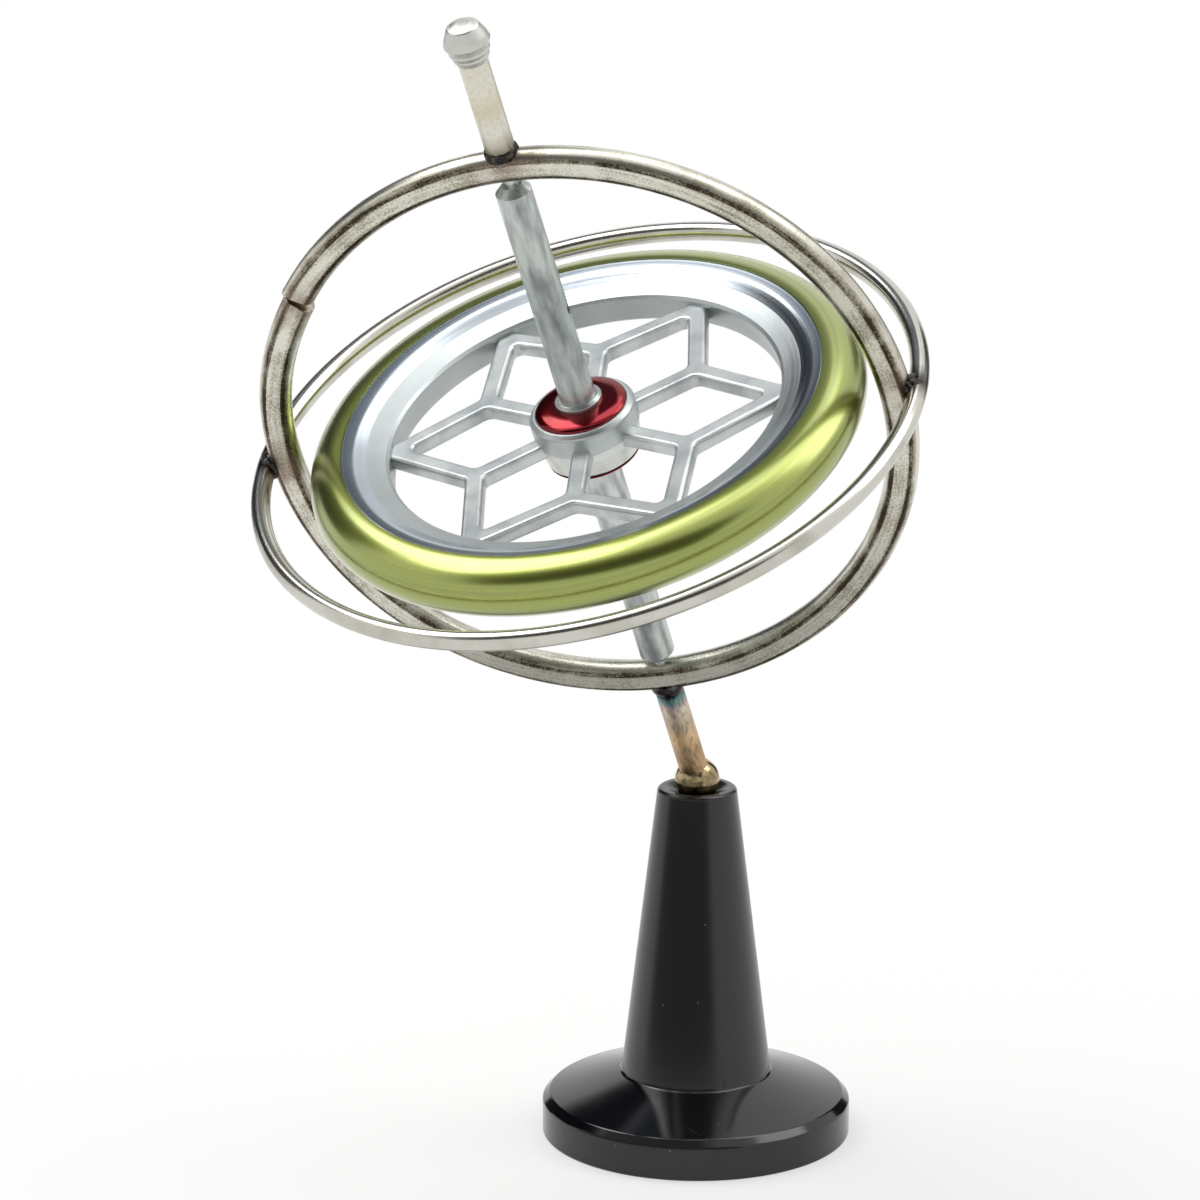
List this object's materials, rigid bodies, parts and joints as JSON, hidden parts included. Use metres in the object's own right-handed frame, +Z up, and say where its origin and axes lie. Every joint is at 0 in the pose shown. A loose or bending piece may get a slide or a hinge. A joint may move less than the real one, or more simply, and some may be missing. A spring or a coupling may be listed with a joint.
{
  "type": "toy gyroscope on stand",
  "caption": "Toy gyroscope in a welded wire frame, its foot ball leaning in the cup of a round tapered stand.",
  "frame": {"origin": "centre of the stand's flat underside", "axes": "+Z up the stand's axis, -X the way the gyroscope leans at rest, -Y the side from which it leans to the left"},
  "size_m": [0.0663, 0.0684, 0.1212],
  "materials": {
    "black_plastic": "glossy moulded black with fine scratches",
    "aged_nickel": "aged nickel-plated wire with a matt grain on its pressed flats",
    "polished_steel": "polished plated steel",
    "dark_weld": "heat-darkened weld metal",
    "ground_steel": "ground grey steel",
    "bright_alloy": "bright turned alloy",
    "cast_alloy": "matt cast alloy",
    "green_lacquer": "transparent green lacquer on bright metal",
    "red_lacquer": "transparent dark red lacquer on bright metal"
  },
  "bodies": {
    "stand": {"pedestal": "black_plastic"},
    "pivot_ball": {"foot_ball": "polished_steel"},
    "leaning_post": {"foot_post": "aged_nickel"},
    "frame": {"foot_post_weld": "dark_weld", "main_ring": "aged_nickel", "ring_seam_weld": "polished_steel", "equator_ring": "polished_steel", "left_crossing_weld": "dark_weld", "right_crossing_weld": "dark_weld", "top_post": "aged_nickel", "top_post_weld": "dark_weld", "top_ball": "polished_steel"},
    "rotor": {"axle": "ground_steel", "rotor_rim": "bright_alloy", "rim_band": "green_lacquer", "spoke_wheel": "cast_alloy", "hub": "bright_alloy", "upper_hub_cap": "red_lacquer", "lower_hub_cap": "red_lacquer", "axle_collar": "bright_alloy"}
  },
  "joints": [
    {"name": "precession", "type": "hinge", "parent": "stand", "child": "pivot_ball", "pos_m": [0, 0, 0.0378], "axis": [0, 0, 1], "continuous": true},
    {"name": "lean", "type": "hinge", "parent": "pivot_ball", "child": "leaning_post", "pos_m": [0, 0, 0.0378], "axis": [0, -1, 0], "range_deg": [-25.7, 44]},
    {"name": "frame_turn", "type": "hinge", "parent": "leaning_post", "child": "frame", "pos_m": [0, 0, 0.0378], "axis": [-0.4337, 0, 0.9011], "continuous": true},
    {"name": "rotor_spin", "type": "hinge", "parent": "frame", "child": "rotor", "pos_m": [-0.01952, 0, 0.07835], "axis": [-0.4337, 0, 0.9011], "continuous": true}
  ]
}
